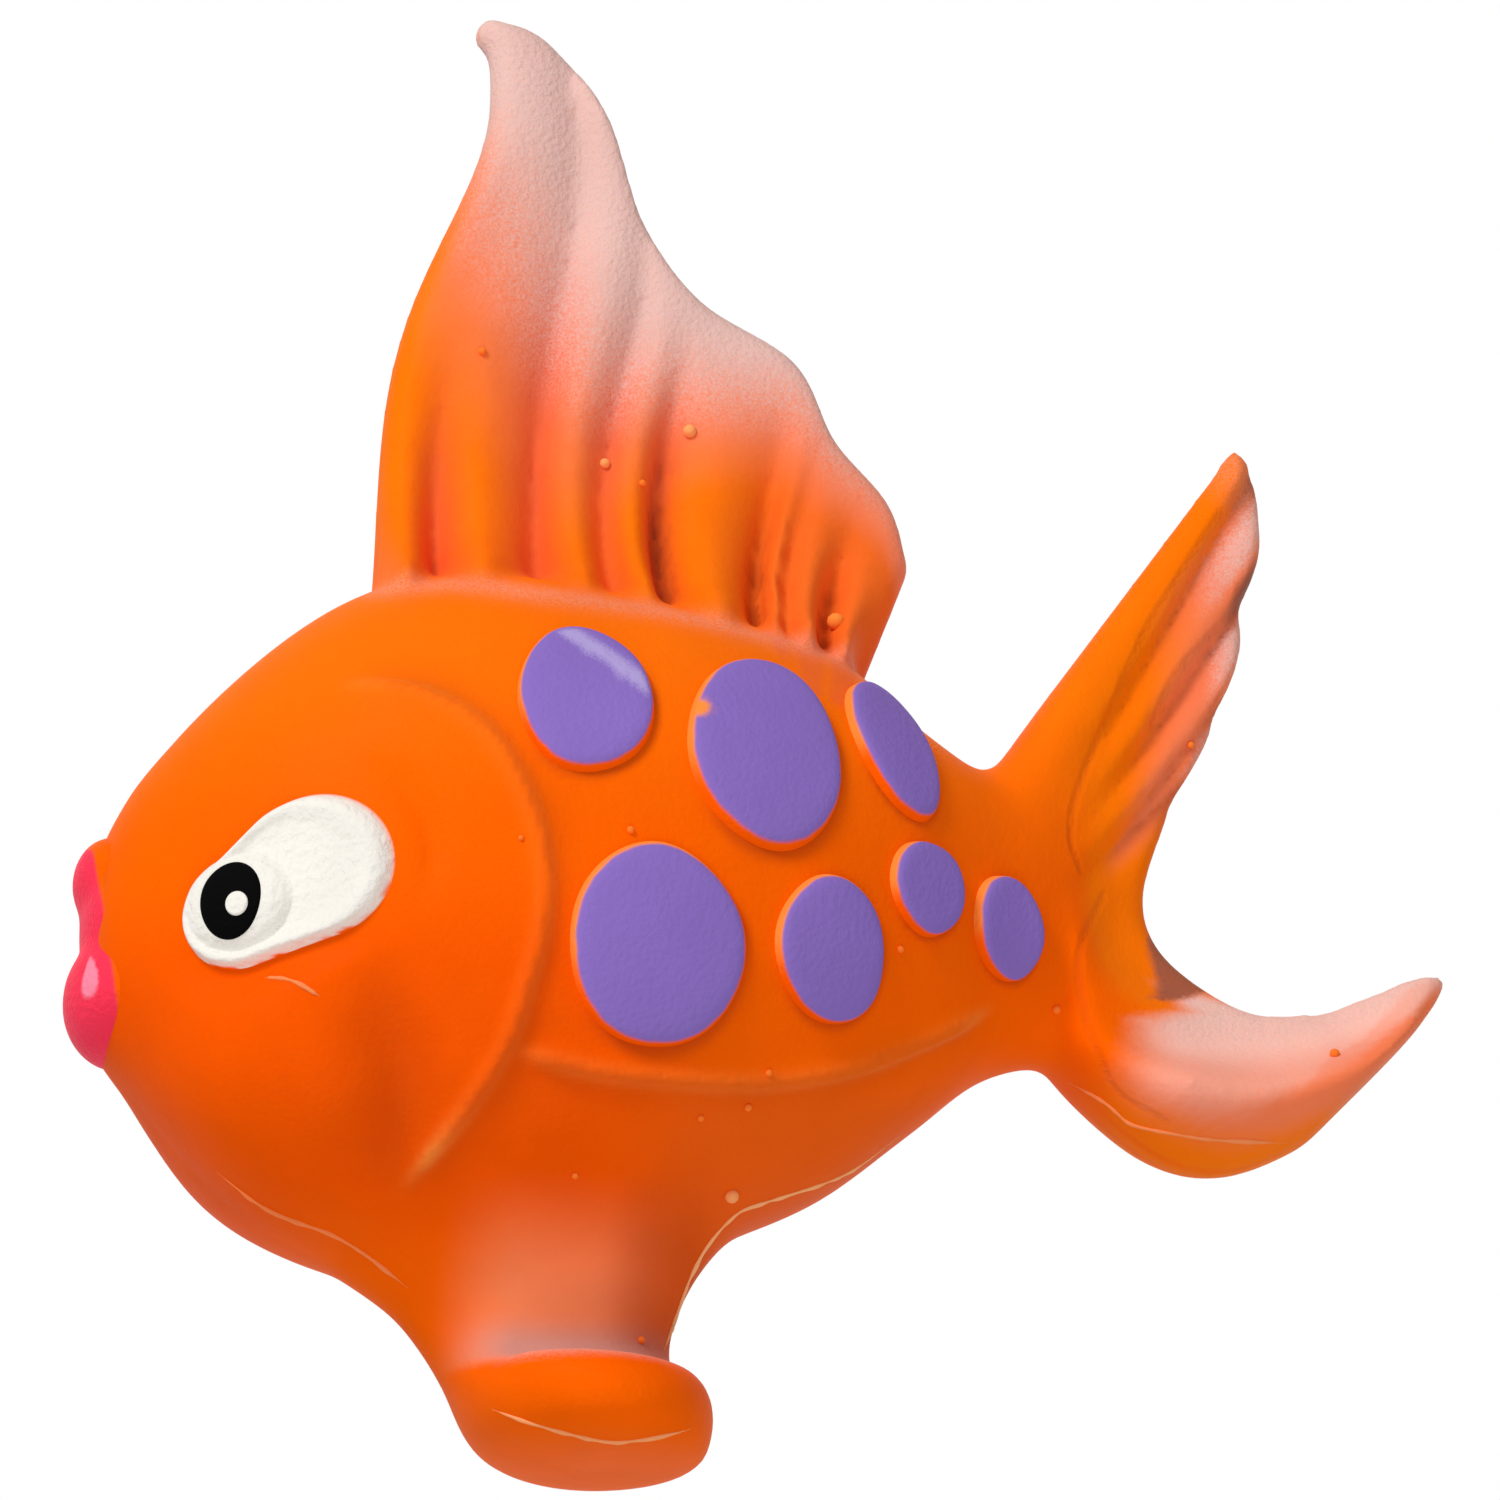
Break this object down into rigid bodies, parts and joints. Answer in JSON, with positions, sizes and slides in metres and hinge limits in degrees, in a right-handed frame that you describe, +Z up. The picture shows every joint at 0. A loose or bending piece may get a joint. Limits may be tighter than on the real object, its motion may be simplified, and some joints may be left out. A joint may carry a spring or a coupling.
{
  "type": "squeaky dog toy",
  "caption": "Moulded latex fish squeak toy with tall folded dorsal fin, forked tail, flared foot to stand on, painted spots and face, and a reed squeaker in the belly; flank presses in.",
  "frame": {"origin": "on the flat underside of the foot, below the middle of the foot", "axes": "-X to the nose, +X to the tail, -Y to the left flank, +Z up through the dorsal fin"},
  "size_m": [0.1076, 0.047, 0.1187],
  "materials": {
    "orange_latex": "satin, airbrushed pale at the fin tips",
    "polyester_fibre": "loose fibre",
    "white_plastic": "moulded",
    "grey_plastic": "moulded",
    "clear_film": "thin film",
    "pink_paint": "satin paint on latex",
    "white_paint": "satin paint on latex",
    "black_paint": "gloss paint on latex",
    "purple_paint": "matte paint on latex"
  },
  "bodies": {
    "toy": {"latex_skin": "orange_latex", "fibre_fill": "polyester_fibre", "squeaker_barrel": "white_plastic", "reed_block": "grey_plastic", "reed_wedge": "grey_plastic", "lips": "pink_paint", "eye_left": "white_paint", "eye_right": "white_paint", "pupil_left": "black_paint", "pupil_right": "black_paint", "catchlight_left": "white_paint", "catchlight_right": "white_paint", "spot_left_3": "purple_paint", "spot_left_6": "purple_paint", "spot_left_7": "purple_paint", "spot_right_1": "purple_paint", "spot_right_2": "purple_paint", "spot_right_3": "purple_paint", "spot_right_4": "purple_paint", "spot_right_5": "purple_paint", "spot_right_6": "purple_paint", "spot_right_7": "purple_paint"},
    "left_flank": {"spot_left_1": "purple_paint", "spot_left_2": "purple_paint", "spot_left_4": "purple_paint", "spot_left_5": "purple_paint"},
    "reed": {"reed": "clear_film"}
  },
  "joints": [
    {"name": "squeeze", "type": "slide", "parent": "toy", "child": "left_flank", "axis": [0, 1, 0], "range_m": [0, 0.01], "stiffness_N_per_m": 600, "deforming": ["latex_skin", "fibre_fill"]},
    {"name": "reed_flex", "type": "hinge", "parent": "toy", "child": "reed", "pos_m": [0.01089, 0.01227, 0.02675], "axis": [0.2865, 0.5456, 0.7876], "range_deg": [-4, 4], "stiffness_Nm_per_rad": 0.0001}
  ]
}
